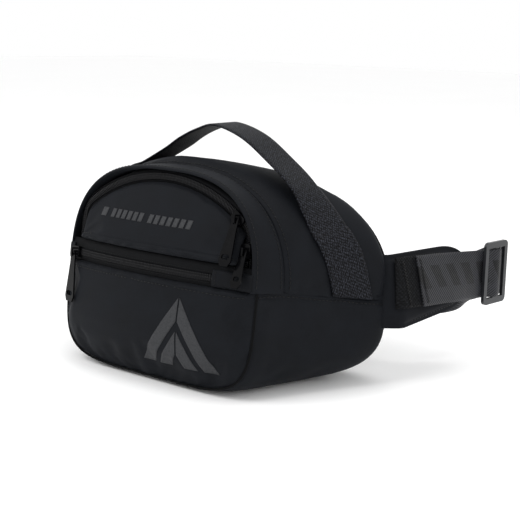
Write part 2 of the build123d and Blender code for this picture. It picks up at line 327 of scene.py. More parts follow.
def swell(obj, free, voxel, cap, depth=0.0):
    """Cloth pressure on a remeshed copy of a pad; its moves are carried back to the pad.
    free(point in mm) is 0 where the pad is sewn down and 1 where it may swell."""
    proxy = link(bpy.data.objects.new(obj.name + "_copy", obj.data.copy()))
    if depth:
        thicken(proxy, depth)
    remesh = proxy.modifiers.new("remesh", "REMESH")
    remesh.mode = "VOXEL"
    remesh.voxel_size = voxel * MM
    apply_modifiers(proxy)
    group = proxy.vertex_groups.new(name="pins")
    for v in proxy.data.vertices:
        held = 1.0 - free(np.array(v.co) / MM)
        if held > 0:
            group.add([v.index], held, "REPLACE")
    start, end = simulate(proxy, 0.02, 20, pressure=4.0)
    move = capped(end - start, cap)
    lookup = KDTree(len(start))
    for k, p in enumerate(start):
        lookup.insert(p, k)
    lookup.balance()
    places = np.array([v.co for v in obj.data.vertices])
    for k, p in enumerate(places):
        near = lookup.find_n(p, 6)
        weights = np.array([1.0 / (gap + 0.5 * MM) for _, _, gap in near])
        shift = weights @ np.array([move[i] for _, i, _ in near]) / weights.sum()
        places[k] = p + shift * free(p / MM)
    place_vertices(obj, places)
    bpy.data.objects.remove(proxy)


def tree_of(*objs):
    """Search tree over the final shapes of pieces."""
    graph = bpy.context.evaluated_depsgraph_get()
    graph.update()
    verts, polys = [], []
    for obj in objs:
        shaped = obj.evaluated_get(graph)
        mesh = shaped.to_mesh()
        base = len(verts)
        verts += [obj.matrix_world @ v.co for v in mesh.vertices]
        polys += [[base + i for i in p.vertices] for p in mesh.polygons]
        shaped.to_mesh_clear()
    return BVHTree.FromPolygons(verts, polys)


def on_surface(tree, point_mm, lift=0.0, toward=None):
    """The nearest point of a search tree, lifted along its normal, in mm."""
    spot, normal, _, _ = tree.find_nearest(Vector(np.asarray(point_mm) * MM))
    if toward is not None and normal.dot(Vector(toward)) < 0:
        normal = -normal
    out = spot + normal * lift * MM
    return np.array(out) / MM, np.array(normal)


def squared(points, across):
    """Tangents of a line, and directions across it turned square to it."""
    tangent = unit(np.gradient(np.asarray(points, float), axis=0))
    across = unit(across)
    return tangent, unit(across - (across * tangent).sum(1, keepdims=True) * tangent)


def beads(name, centres, runs, ups, shape, sides=6):
    """Many small closed beads: shape rows are (place on the run, half width, half height, lift)."""
    verts, faces = [], []
    angle = np.linspace(0, 2 * math.pi, sides, endpoint=False)
    for centre, run, up in zip(centres, runs, ups):
        run = unit(run)
        up = unit(up - up.dot(run) * run)
        side = np.cross(run, up)
        faces += ring_faces(len(shape), sides, len(verts))
        for place, wide, high, lift in shape:
            mid = centre + run * place + up * lift
            verts += [mid + side * wide * math.cos(a) + up * high * math.sin(a) for a in angle]
    return new_object(name, verts, faces)


THREAD = [(-1.3, 0.08, 0.06, -0.2), (-1.05, 0.3, 0.22, 0.0), (0.0, 0.36, 0.27, 0.08),
          (1.05, 0.3, 0.22, 0.0), (1.3, 0.08, 0.06, -0.2)]


def stitches(name, tree, line, outward, pitch=STITCH_PITCH, lift=0.1, scale=1.0):
    """A row of stitches along a line, laid on the surface."""
    line = np.asarray(line, float)
    count = max(int(length_of(line) / pitch), 2)
    spots = along(line, (np.arange(count) + 0.5) / count)
    ends = along(line, np.clip((np.arange(count) + 0.8) / count, 0, 1))
    centres, runs, ups = [], [], []
    for spot, ahead in zip(spots, ends):
        a, normal = on_surface(tree, spot, lift, outward(spot))
        b, _ = on_surface(tree, ahead, lift, outward(ahead))
        if np.linalg.norm(b - a) < 0.05:
            continue
        centres.append(a)
        runs.append(b - a)
        ups.append(normal)
    return beads(name, centres, runs, ups, np.array(THREAD) * scale)


def sew(name, tree, line, outward, body="bag", slot="shell_fabric", **how):
    return finish_piece(stitches(name, tree, line, outward, **how), body, THREAD_MAT, slot)


# ---- materials ----
class Nodes:
    """Short calls for building a material's nodes."""

    def __init__(self, name):
        self.material = bpy.data.materials.new(name)
        self.material.use_nodes = True
        self.tree = self.material.node_tree
        self.shader = self.tree.nodes["Principled BSDF"]

    def add(self, kind, **values):
        node = self.tree.nodes.new(kind)
        for key, value in values.items():
            if key in node.inputs:
                node.inputs[key].default_value = value
            else:
                setattr(node, key, value)
        return node

    def join(self, a, b):
        self.tree.links.new(a, b)

    def place(self, source="object"):
        if source == "lay":
            return self.add("ShaderNodeAttribute", attribute_name="lay").outputs["Vector"]
        return self.add("ShaderNodeTexCoord").outputs["Object"]

    def noise(self, place, scale, detail=3.0, rough=0.55):
        node = self.add("ShaderNodeTexNoise", Scale=scale, Detail=detail, Roughness=rough)
        self.join(place, node.inputs["Vector"])
        return node.outputs["Fac"]

    def ramp(self, value, stops):
        node = self.add("ShaderNodeValToRGB")
        band = node.color_ramp
        while len(band.elements) < len(stops):
            band.elements.new(0.5)
        for element, (spot, colour) in zip(band.elements, stops):
            element.position = spot
            element.color = (*colour, 1.0)
        self.join(value, node.inputs["Fac"])
        return node.outputs["Color"]

    def math(self, kind, *values):
        node = self.add("ShaderNodeMath", operation=kind)
        for slot, value in zip(node.inputs, values):
            if isinstance(value, (int, float)):
                slot.default_value = value
            else:
                self.join(value, slot)
        return node.outputs[0]

    def turned(self, place, degrees, scale=(1, 1, 1)):
        node = self.add("ShaderNodeMapping", Scale=scale, Rotation=(0, 0, math.radians(degrees)))
        self.join(place, node.inputs["Vector"])
        return node.outputs["Vector"]

    def wave(self, place, scale, distortion):
        node = self.add("ShaderNodeTexWave", Scale=scale, Distortion=distortion)
        self.join(place, node.inputs["Vector"])
        return node.outputs["Fac"]

    def bump(self, height, strength, distance, below=None):
        node = self.add("ShaderNodeBump", Strength=strength, Distance=distance)
        self.join(height, node.inputs["Height"])
        if below is not None:
            self.join(below, node.inputs["Normal"])
        return node.outputs["Normal"]

    def set(self, **values):
        for key, value in values.items():
            self.shader.inputs[key.replace("_", " ")].default_value = value

    def link(self, name, value):
        self.join(value, self.shader.inputs[name])


def softshell(name, tone=1.0):
    """Matt coated fabric with a broad, soft change of tone."""
    n = Nodes(name)
    place = n.place()
    broad = n.noise(place, 55.0, 4.0)
    fine = n.noise(place, 1500.0, 2.0)
    mix = n.math("ADD", n.math("MULTIPLY", fine, 0.35), n.math("MULTIPLY", broad, 0.65))
    dark, light = (tuple(c * tone for c in colour)
                   for colour in ((0.0028, 0.0033, 0.0046), (0.0060, 0.0070, 0.0094)))
    n.link("Base Color", n.ramp(mix, [(0.3, dark), (0.72, light)]))
    n.link("Roughness", n.math("MULTIPLY_ADD", broad, 0.16, 0.60))
    soft = n.bump(broad, 0.12, 0.0012)
    n.link("Normal", n.bump(fine, 0.22, 0.0003, soft))
    n.set(Sheen_Weight=0.02, Sheen_Roughness=0.42, Specular_IOR_Level=0.10,
          Sheen_Tint=(0.7, 0.76, 0.9, 1))
    return n.material


def webbing(name, low, high, pitch, speckle, spec):
    """Woven webbing: diagonal picks both ways, broken up by lighter flecks."""
    n = Nodes(name)
    lay = n.place("lay")
    one = n.wave(n.turned(lay, 35), 0.314 / pitch, 1.2)
    two = n.wave(n.turned(lay, -52), 0.27 / pitch, 1.2)
    weave = n.math("MULTIPLY", one, two)
    fleck = n.noise(n.turned(lay, 25, (1.0, 0.45, 1.0)), speckle, 2.0, 0.6)
    tone = n.math("ADD", n.math("MULTIPLY", weave, 0.2), n.math("MULTIPLY", fleck, 0.86))
    n.link("Base Color", n.ramp(tone, [(0.42, low), (0.74, high)]))
    height = n.math("ADD", weave, n.math("MULTIPLY", fleck, 0.5))
    n.link("Normal", n.bump(height, 0.55, 0.0005))
    n.set(Roughness=0.6, Sheen_Weight=0.01, Sheen_Roughness=0.35, Specular_IOR_Level=spec)
    return n.material


def twill(name, low, high, pitch=0.0017):
    """Shiny twill webbing: fine diagonal ribs and a slow change of tone along the strap."""
    n = Nodes(name)
    lay = n.place("lay")
    ribs = n.wave(n.turned(lay, 38), 0.314 / pitch, 0.25)
    cross = n.wave(n.turned(lay, -60), 0.55 / pitch, 0.4)
    slow = n.noise(n.turned(lay, 0), 130.0, 3.0)
    split = n.add("ShaderNodeSeparateXYZ")
    n.join(lay, split.inputs["Vector"])
    across, along_strap = split.outputs["X"], split.outputs["Y"]
    slant = n.math("ADD", along_strap, n.math("MULTIPLY", across, 0.45))
    bars = n.math("SINE", n.math("MULTIPLY", slant, 2 * math.pi / 0.019))
    middle = n.math("LESS_THAN", n.math("ABSOLUTE", n.math("SUBTRACT", across, 0.002)), 0.0085)
    motif = n.math("MULTIPLY", n.math("GREATER_THAN", bars, -0.15), middle)
    tone = n.math("ADD", n.math("MULTIPLY", ribs, 0.5), n.math("MULTIPLY", slow, 0.55))
    tone = n.math("SUBTRACT", tone, n.math("MULTIPLY", motif, 0.34))
    n.link("Base Color", n.ramp(tone, [(0.3, low), (0.85, high)]))
    n.link("Roughness", n.ramp(slow, [(0.3, (0.34,) * 3), (0.7, (0.52,) * 3)]))
    height = n.math("ADD", ribs, n.math("MULTIPLY", cross, 0.35))
    n.link("Normal", n.bump(height, 0.5, 0.0004))
    n.set(Sheen_Weight=0.03, Sheen_Roughness=0.3, Specular_IOR_Level=0.2)
    return n.material


def tape(name):
    n = Nodes(name)
    lay = n.place("lay")
    ribs = n.wave(n.turned(lay, 90), 700.0, 0.3)
    grain = n.noise(lay, 1400.0, 2.0)
    tone = n.math("ADD", n.math("MULTIPLY", ribs, 0.5), n.math("MULTIPLY", grain, 0.5))
    n.link("Base Color", n.ramp(tone, [(0.2, (0.0012, 0.0013, 0.0016)),
                                       (0.8, (0.0055, 0.0058, 0.0068))]))
    n.link("Normal", n.bump(ribs, 0.35, 0.0003))
    n.set(Roughness=0.7, Sheen_Weight=0.01, Specular_IOR_Level=0.07)
    return n.material


def hard(name, colour, rough, metallic=0.0, coat=0.0, grain=0.03, scale=900.0, spec=0.5):
    """Moulded or lacquered surface with a fine grain and worn, slightly rougher patches."""
    n = Nodes(name)
    place = n.place()
    wear = n.noise(place, 160.0, 4.0)
    fine = n.noise(place, scale, 2.0)
    low = tuple(c * 0.82 for c in colour)
    high = tuple(min(c * 1.22, 1.0) for c in colour)
    n.link("Base Color", n.ramp(wear, [(0.35, low), (0.7, high)]))
    n.link("Roughness", n.ramp(wear, [(0.3, (rough * 0.85,) * 3), (0.75, (rough * 1.25,) * 3)]))
    n.link("Normal", n.bump(fine, grain * 4, 0.0002))
    n.set(Metallic=metallic, Coat_Weight=coat, Coat_Roughness=0.12, Specular_IOR_Level=spec)
    return n.material


def spacer_mesh():
    n = Nodes("spacer_mesh")
    place = n.place()
    cells = n.add("ShaderNodeTexVoronoi", Scale=330.0, Randomness=0.25)
    n.join(place, cells.inputs["Vector"])
    hole = cells.outputs["Distance"]
    # the hollows of the cells are painted darker than the strands round them: painted shade inside
    # the open cells
    n.link("Base Color", n.ramp(hole, [(0.28, (0.0012, 0.0012, 0.0015)),
                                       (0.5, (0.0085, 0.0088, 0.0105))]))
    n.link("Normal", n.bump(hole, 0.8, 0.0008))
    n.set(Roughness=0.82, Sheen_Weight=0.03, Specular_IOR_Level=0.14)
    return n.material


def print_ink():
    n = Nodes("print_ink")
    place = n.place()
    grain = n.noise(place, 900.0, 3.0)
    n.link("Base Color", n.ramp(grain, [(0.3, (0.018, 0.019, 0.021)),
                                        (0.6, (0.032, 0.033, 0.036))]))
    n.link("Normal", n.bump(grain, 0.2, 0.0002))
    n.set(Roughness=0.55, Specular_IOR_Level=0.2)
    return n.material


SHELL = softshell("softshell")
SHELL_DARK = softshell("softshell_dark", 0.7)
HANDLE_WEB = webbing("handle_webbing", (0.0008, 0.0009, 0.0013), (0.034, 0.037, 0.047),
                     pitch=0.0017, speckle=1000.0, spec=0.10)
PATCH_WEB = webbing("patch_webbing", (0.0008, 0.0009, 0.0012), (0.010, 0.0108, 0.013),
                    pitch=0.0019, speckle=800.0, spec=0.08)
BELT_WEB = twill("belt_webbing", (0.0012, 0.0014, 0.0020), (0.034, 0.035, 0.042))
TAPE = tape("zip_tape")
COIL_MAT = hard("zip_coil", (0.002, 0.002, 0.003), 0.15, coat=0.05, spec=0.24)
LACQUER = hard("zip_lacquer", (0.0014, 0.0014, 0.0018), 0.2, coat=0.03, spec=0.08)
SATIN = hard("adjuster_satin", (0.018, 0.019, 0.022), 0.3, metallic=0.2, spec=0.5)
PLASTIC = hard("buckle_plastic", (0.004, 0.004, 0.005), 0.42, grain=0.08, scale=1600.0, spec=0.22)
THREAD_MAT = hard("thread", (0.0016, 0.0017, 0.002), 0.45, grain=0.1, scale=3000.0, spec=0.22)
MESH_MAT = spacer_mesh()
LINING = softshell("lining", 1.3)
ELASTIC = tape("elastic")
INK = print_ink()


# ---- body panels ----
def seam_dip(distance, depth=1.3, reach=2.6):
    """How far a panel turns in beside its seam."""
    return depth * bell(distance, reach)


def body_panel(name, t_low, t_high, above, rows, columns, puff):
    """A panel of the body: rows run from front to back, columns round the section."""
    ts = t_low + (t_high - t_low) * eased(rows, 0.45)
    half_run = length_of(rim((t_low + t_high) / 2, above)) / 2
    near = np.array([0, 0.8, 1.6, 2.4, 3.0, 3.6, 4.2, 5.0, 6.2, 8.0]) / (2 * half_run)
    inside = near[-1] + (1 - 2 * near[-1]) * eased(columns - 2 * len(near) + 2, 0.1)
    shares = np.concatenate([near, inside[1:-1], 1 - near[::-1]])
    mid = [along(rim(t, above), [0.5])[0] for t in ts]
    run = run_of(mid)
    out = []
    for k, t in enumerate(ts):
        outer = along(rim(t, above, 0.0), shares)
        inner = along(rim(t, above, 4.0), shares)
        around = length_of(rim(t, above))
        row = []
        for i, share in enumerate(shares):
            d_side = min(share, 1 - share) * around
            edges = (run[k], run[-1] - run[k], share * around, (1 - share) * around)
            inset = -puff * smooth(d_side / 25.0) * smooth(min(edges[:2]) / 12.0)
            inset += 0.35 + sum(seam_dip(edge) for edge in edges)
            if not above:
                inset += 0.6 * bell(d_side - 3.4, 0.8)
            row.append(outer[i] + (inner[i] - outer[i]) * inset / 4.0)
        out.append(row)
    return grid(name, out, flip=above)


def outward_body(spot):
    """Away from the middle line of the body."""
    return (spot[0], (spot[1] + 5.0) * 0.3, spot[2] - 72.0)


def hood_line(t):
    return along(rim(t, True), np.linspace(0.01, 0.99, 160))


def make_body():
    upper = body_panel("upper_gusset_panel", 1.0, 4.0, True, 46, 96, 1.2)
    drape(upper, 0.012, 3.0)
    finish_sheet(upper, 2.2, SHELL, "shell_fabric", "upper_gusset")
    lower = body_panel("lower_gusset_panel", 0.0, 4.0, False, 50, 96, 1.4)
    drape(lower, 0.01, 2.6)
    flatten(lower)
    finish_sheet(lower, 2.2, SHELL, "shell_fabric", "lower_gusset")
    tree = tree_of(upper, lower)
    beside_seam = 3.4 / 430.0
    for k, share in enumerate((beside_seam, 1 - beside_seam)):
        line = [along(rim(t, False), [share])[0] for t in np.linspace(0.06, 3.97, 60)]
        sew(f"side_seam_stitches_{k}", tree, line, outward_body)
    sew("hood_seam_stitches_rear", tree, hood_line(1.12), outward_body)
    return upper


def flatten(obj, level=0.0):
    """Keep a panel above the floor."""
    for v in obj.data.vertices:
        v.co.z = max(v.co.z, level * MM)
    obj.data.update()


def make_hood():
    """Fabric hood over the main zip, folded back inside along its front edge."""
    profile = [(1.0, 1.5), (0.93, 0.6), (0.85, 0.3), (0.65, 0.2), (0.45, 0.1), (0.25, 0.1),
               (0.08, 0.1), (-0.04, 0.15), (-0.12, 0.3), (-0.17, 0.8), (-0.195, 1.6), (-0.17, 2.5),
               (-0.1, 2.9), (0.05, 3.2), (0.3, 3.4)]
    shares = eased(110, 0.3)
    hood = grid("hood_band_panel", [along(rim(t, True, inset), shares) for t, inset in profile])
    subdivide(hood)
    finish_piece(hood, "bag", SHELL, "shell_fabric", "hood_band")
    tree = tree_of(hood)
    for k, t in enumerate((0.88, -0.06)):
        sew(f"hood_stitches_{k}", tree, hood_line(t), outward_body)


# ---- front face ----
def crown_r(z):
    """Radius of the face about its upright axis at a height above the seam."""
    if z >= BAND_TOP:
        return math.sqrt(max(AXIS_BACK ** 2 + ARCH_R ** 2 - (z + ARCH_DROP) ** 2, 1.0))
    if z >= 0:
        return BAND_R
    return BAND_R + np.interp(-z, [0, 14, 28, 40, 52, 62, 68, 74, 80],
                              [0, 1.1, 1.8, 1.4, -0.5, -4.0, -8.0, -13.0, -18.0])


def face_depth(x, z, out=0.0):
    """Depth of the bulging face at x, z, in the face's frame; out lifts it off the surface."""
    r = crown_r(z) + out
    return AXIS_BACK - math.sqrt(r * r - x * x)


def arch_line(offset, count=240, foot=BAND_TOP):
    """Points (x, z) of the main zip's line, moved outward by offset, from right foot to left."""
    turn = math.asin(ARCH_HALF / ARCH_R)
    cx = (ARCH_R - SHOULDER_R) * math.sin(turn)
    cz = -ARCH_DROP + (ARCH_R - SHOULDER_R) * math.cos(turn)
    r = SHOULDER_R + offset
    points = [(cx + r, foot), (cx + r, (foot + cz) / 2)]
    for k in range(25):
        a = (math.pi / 2 - turn) * k / 24
        points.append((cx + r * math.cos(a), cz + r * math.sin(a)))
    for k in range(1, 60):
        a = turn - 2 * turn * k / 60
        points.append(((ARCH_R + offset) * math.sin(a),
                       -ARCH_DROP + (ARCH_R + offset) * math.cos(a)))
    points += [(-x, z) for x, z in points[:27][::-1]]
    dense = along([(x, 0.0, z) for x, z in points], np.linspace(0, 1, count))
    return dense[:, [0, 2]]


def outward_face(spot):
    return (0.0, -1.0, 0.1)


def face_stitches(name, panel, z, half, count):
    """A row of stitches across the front, at a height above the seam."""
    line = [from_face(x, face_depth(x, z), z) for x in np.linspace(-half, half, count)]
    sew(name, tree_of(panel), line, outward_face)


def make_upper_panel():
    """Front panel between the two zips."""
    line = arch_line(-4.4, 1400)
    half = arch_line(-4.4)[0][0]
    xs = np.concatenate([[-half], -half + (2 * half) * eased(64, 0.45)[1:-1], [half]])
    line = line[line[:, 1] > BAND_TOP + 1e-3]
    order = np.argsort(line[:, 0], kind="stable")
    shares = np.concatenate([np.linspace(0, 0.16, 14), 0.16 + 0.84 * eased(34, 0.4)[1:]])
    rows = []
    for share in shares:
        row = []
        for x in xs:
            top = float(np.interp(x, line[order, 0], line[order, 1]))
            edge_side = half - abs(x)
            if edge_side < 0.05:
                top = float(line[:, 1].min() + 22.0)
            edge_top, edge_low = (1 - share) * (top - BAND_TOP), share * (top - BAND_TOP)
            sink = seam_dip(edge_top, 1.5, 2.2) + seam_dip(edge_side, 1.5, 2.2)
            lip = 1.2 * bell(edge_low - 1.6, 2.0) - seam_dip(edge_low, 1.8, 0.8)
            lip -= 0.75 * bell(edge_low - 4.2, 0.9)
            crown = 0.5 * (1 - math.exp(-min(edge_top, edge_side) / 9.0))
            z = BAND_TOP + edge_low
            row.append(from_face(x, face_depth(x, z, crown + lip - sink), z))
        rows.append(row)
    panel = grid("front_upper_cover", rows)
    drape(panel, 0.008, 1.6)
    finish_sheet(panel, PANEL, SHELL, "shell_fabric", "front_upper_panel")
    face_stitches("upper_lip_stitches", panel, BAND_TOP + 4.2, 76, 80)
    return panel


def lower_outline(share, inset=0.0):
    """Outline of the pocket panel from the right seam point round the bottom to the left."""
    _, half, _, drop, _, _, down, _ = SECTIONS[0]
    x, z = arc(half - inset, inset - drop, down, 500)
    return along(np.stack([x, 0 * x, z], 1), share)


def make_pocket_panel():
    """Bulged front of the pocket, sewn to the gusset all round except along its zip."""
    around = lower_outline(np.linspace(0, 1, 1001))
    side = 0.235     # share of the outline that each upright edge takes
    cols = eased(72, 0.4)
    downs = np.concatenate([np.linspace(0, 0.1, 14), 0.1 + 0.9 * eased(36, 0.35)[1:]])
    left, right = lower_outline(1 - side * downs), lower_outline(side * downs)
    bottom = lower_outline(1 - side - (1 - 2 * side) * cols)
    rows = []
    for j, v in enumerate(downs):
        row = []
        for i, u in enumerate(cols):
            p = v * bottom[i] + (1 - u) * (left[j] - v * bottom[0])
            p += u * (right[j] - v * bottom[-1])
            x, z = p[0], p[2]
            gap = float(np.min(np.hypot(around[:, 0] - x, around[:, 2] - z)))
            lip = 0.9 * bell(z + 1.7, 2.0) - seam_dip(z, 2.2, 0.8) - 0.8 * bell(z + 4.4, 0.9)
            lip *= 1 - math.exp(-gap / 4.0)
            hold = math.exp(-gap / 5.0)
            row.append(from_face(x, face_depth(x, z, 0.3 + lip) * (1 - hold) + 0.2 * hold, z))
        rows.append(row)
    panel = grid("pocket_front_cover", rows, flip=True)
    drape(panel, 0.012, 2.6)
    for v in panel.data.vertices:
        away = np.array(v.co) / MM - FACE_ORIGIN
        height, depth = away @ FACE_Z_DIR, away @ FACE_Y_DIR
        most = 0.8 + 0.5 * bell(height + 1.7, 2.0)     # room left for the pulled slider
        short = face_depth(away[0], height, most) - depth
        if short > 0:
            v.co = Vector((np.array(v.co) / MM + FACE_Y_DIR * short) * MM)
    flatten(panel, 0.6)
    finish_sheet(panel, PANEL, SHELL, "shell_fabric", "front_pocket_panel")
    face_stitches("pocket_lip_stitches", panel, -4.4, 87, 90)
    return panel


def tube(name, points, radius, closed_ends=True):
    """A round strip swept along points."""
    sides = 10
    tangent, up = squared(points, np.tile([0.0, -1.0, 0.05], (len(points), 1)))
    side = np.cross(tangent, up)
    angle = np.linspace(0, 2 * math.pi, sides, endpoint=False)
    verts = [p + s * radius * math.cos(a) + u * radius * math.sin(a)
             for p, s, u in zip(points, side, up) for a in angle]
    faces = [face[::-1] for face in ring_faces(len(points), sides, caps=closed_ends)]
    return new_object(name, verts, faces)


def make_piping():
    """Narrow dark piping in the seam round the pocket panel."""
    line = [from_face(p[0], -0.4, p[2]) for p in lower_outline(np.linspace(0.0, 1.0, 200), -0.1)]
    line = [np.array([p[0], p[1], max(p[2], 0.95)]) for p in line]
    piece = tube("pocket_seam_piping", line, 0.9)
    finish_piece(piece, "bag", TAPE, "zip_tape")


def band_rows(levels, x_low, x_high, columns=90):
    """Rows of points on the zip band: levels are (height, lift off the band)."""
    return [[from_face(x, face_depth(x, min(max(z, 0), BAND_TOP - 0.01), out), z)
             for x in np.linspace(x_low, x_high, columns)] for z, out in levels]


def make_pocket_zip():
    lower = grid("pocket_tape_lower", band_rows(
        [(-1.5, -2.4), (0.5, -2.2), (2.0, -1.7), (3.2, -1.3), (4.6, -1.4), (6.0, -1.6)], -90, 90))
    upper = grid("pocket_tape_upper", band_rows(
        [(7.0, -1.6), (8.6, -1.4), (10.0, -1.1), (12.0, -1.2), (14.0, -1.6), (16.9, -2.2)],
        -90, 90))
    for piece, node in ((lower, "pocket_zip_tape_lower"), (upper, "pocket_zip_tape_upper")):
        finish_sheet(piece, TAPE_THICK, TAPE, "zip_tape", node)
    tree = tree_of(lower, upper)
    for k, z in enumerate((COIL_Z - 4.0, COIL_Z + 4.2)):
        line = [from_face(x, face_depth(x, z), z) for x in np.linspace(COIL_LEFT, COIL_RIGHT, 90)]
        sew(f"coil_thread_{k}", tree, line, outward_face, pitch=2.0, scale=0.55, slot="zip_tape")
    xs = np.arange(COIL_LEFT, COIL_RIGHT, COIL_PITCH)
    place = [from_face(x, face_depth(x, COIL_Z, -0.9), COIL_Z) for x in xs]
    out = [from_face(x, face_depth(x, COIL_Z, 5.0), COIL_Z) - p for x, p in zip(xs, place)]
    coil = coil_chain("pocket_coil_teeth", place, out, COIL_PITCH)
    finish_piece(coil, "bag", COIL_MAT, "zip_coil", "pocket_zip_coil")
    levels = [(0.6, -0.6), (1.2, 0.2), (3.0, 0.5), (6.5, 0.5), (10.0, 0.5), (12.4, 0.2),
              (13.0, -0.8)]
    for name, node, low, high in (("right_end_tab", "pocket_zip_end_tab", 60.2, 91.0),
                                  ("left_end_tab", "pocket_zip_left_tab", -91.0, -85.0)):
        tab = grid(name, band_rows(levels, low, high, 24))
        finish_sheet(tab, 1.2, SHELL_DARK, "shell_fabric", node)
    tab = bpy.data.objects["right_end_tab"]
    beside = 62.6
    line = [from_face(beside, face_depth(beside, z), z) for z in np.linspace(1.5, 11.8, 12)]
    sew("end_tab_stitches", tree_of(tab), line, outward_face, pitch=2.2, scale=0.7)


def coil_chain(name, places, outs, pitch):
    """Closed coil zip: loops from both tapes that cross at the middle, one after another."""
    tangents = unit(np.gradient(np.asarray(places, float), axis=0))
    centres, runs, ups = [], [], []
    for p, t, o in zip(places, tangents, unit(outs)):
        across = np.cross(t, o)
        for side in (-1, 1):
            centres.append(p + side * (across * 1.15 + t * 0.25 * pitch))
            runs.append(side * (across + t * 0.22))
            ups.append(o)
    shape = [(-1.65, 0.30, 0.30, 0.1), (-1.4, 0.52, 0.62, 0.45), (-0.9, 0.46, 0.6, 0.62),
             (0.2, 0.40, 0.5, 0.55), (1.2, 0.40, 0.5, 0.35), (1.6, 0.34, 0.42, 0.0),
             (1.75, 0.2, 0.2, -0.2)]
    return beads(name, centres, runs, ups, shape, sides=8)


def arch_strip(name, profile):
    """A strip along the main zip: profile is (offset from its line, depth in the face's frame)."""
    return grid(name, [[from_face(x, depth, z) for x, z in arch_line(offset, 220, foot=8.0)]
                       for offset, depth in profile], flip=True)


def make_main_zip():
    front = arch_strip("main_tape_front",
                       [(-6.5, 2.6), (-5.0, 1.6), (-3.6, 0.6), (-2.4, 0.4), (-0.4, 0.7)])
    rear = arch_strip("main_tape_rear",
                      [(0.4, 0.7), (2.4, 0.4), (3.6, 0.6), (4.8, 2.0), (5.6, 5.0), (6.2, 9.0)])
    for piece, node in ((front, "main_zip_tape_front"), (rear, "main_zip_tape_rear")):
        finish_sheet(piece, TAPE_THICK, TAPE, "zip_tape", node)
    line = arch_line(0.0, 600, foot=13.0)
    points = [from_face(x, -0.1, z) for x, z in line]
    total = length_of(points)
    count = int(total / COIL_PITCH)
    place = along(points, (np.arange(count) + 0.5) / count)
    coil = coil_chain("main_coil_teeth", place, [-FACE_Y_DIR] * count, total / count)
    finish_piece(coil, "bag", COIL_MAT, "zip_coil", "main_zip_coil")


# ---- printed marks: two plain peaks and a row of tiles, no lettering ----
def decal(name, outline, target, columns, rows):
    """A flat printed shape between two (x, z) border lines, laid on the front."""
    low, high = outline
    low = along([(x, 0, z) for x, z in low], np.linspace(0, 1, columns))
    high = along([(x, 0, z) for x, z in high], np.linspace(0, 1, columns))
    points = []
    for v in np.linspace(0, 1, rows):
        row = []
        for a, b in zip(low, high):
            p = a + (b - a) * v
            guess = from_face(p[0], face_depth(p[0], p[2], 3.0), p[2])
            hit = target.ray_cast(Vector(guess * MM), Vector((0, 1, -0.12)).normalized(), 0.03)
            spot = np.array(hit[0]) / MM if hit[0] is not None else guess
            row.append(spot + np.array([0, -0.22, 0.02]))
        points.append(row)
    piece = grid(name, points)
    thicken(piece, 0.15, 0.0)
    return finish_piece(piece, "bag", INK, "shell_fabric")


def make_marks(pocket, upper):
    tree = tree_of(pocket)
    mid_x, base = 36.0, -61.0
    for k, (half, height, band) in enumerate(((34.0, 50.0, 9.5), (17.5, 25.7, 9.5))):
        slope = height / half
        drop = band * math.hypot(1, slope)
        for side, label in ((-1, "left"), (1, "right")):
            foot_out = (mid_x + side * half, base)
            foot_in = (mid_x + side * (half - drop / slope), base)
            peak = (mid_x + side * 0.6, base + height)
            valley = (mid_x + side * 0.6, base + height - drop)
            decal(f"peak_mark_{k}_{label}", ([foot_in, valley], [foot_out, peak]), tree, 34, 8)
    tree = tree_of(upper)
    tiles = [(-56.0, -49.5)]
    for start, count in ((-44.0, 6), (-4.0, 7)):
        tiles += [(start + 6.0 * k, start + 6.0 * k + 4.2) for k in range(count)]
    low, high, slant = 37.5, 44.0, 1.2
    for k, (x0, x1) in enumerate(tiles):
        outline = ([(x0, low), (x1, low)], [(x0 + slant, high), (x1 + slant, high)])
        decal(f"tile_mark_{k}", outline, tree, 5, 5)


# ---- straps ----
def strap(name, points, sides, width, thick, rows=9):
    """Flat webbing: points are its middle line, sides the directions across it."""
    tangent, sides = squared(points, sides)
    normal = np.cross(tangent, sides)
    widths = -width / 2 + width * eased(rows, 0.4)
    loop = [(w, 1) for w in widths] + [(w, -1) for w in widths[::-1]]
    verts, lay = [], []
    for p, s, n, r in zip(points, sides, normal, run_of(points)):
        for w, top in loop:
            edge = 1.0 - 0.55 * bell(width / 2 - abs(w), 0.5)
            verts.append(p + s * w + n * top * thick / 2 * edge)
            lay.append((w * MM, r * MM, 0))
    obj = new_object(name, verts, ring_faces(len(points), len(loop)))
    set_lay(obj, lay)
    return obj, sides


def smooth_line(points, count):
    """Cubic curve through points, evenly spaced."""
    pts = np.asarray(points, float)
    ext = np.vstack([2 * pts[0] - pts[1], pts, 2 * pts[-1] - pts[-2]])
    dense = []
    for i in range(1, len(ext) - 2):
        p0, p1, p2, p3 = ext[i - 1:i + 3]
        for u in np.linspace(0, 1, 24, endpoint=False):
            dense.append(0.5 * (2 * p1 + (p2 - p0) * u + (2 * p0 - 5 * p1 + 4 * p2 - p3) * u * u
                                + (3 * p1 - p0 - 3 * p2 + p3) * u ** 3))
    dense.append(ext[-2])
    return along(dense, np.linspace(0, 1, count))


HANDLE_LOOP = [(-79, 144.4), (-62, 151.6), (-47, 159.4), (-35, 166.0), (-22, 174.1), (-6, 181.3),
               (12, 185.7), (38, 178.7), (62, 164.0), (86, 145.5)]


def seam_height(y):
    """Height of the side seam at a depth."""
    return float(np.interp(y, SECTIONS[:, 0], SECTIONS[:, 4]))


def body_x(z, y):
    """Half width of the body above the seam at a height and depth."""
    t = float(np.interp(y, SECTIONS[:, 0], range(5)))
    line = rim(t, True)
    half = line[:180]
    return float(np.interp(z, half[:, 2], half[:, 0]))


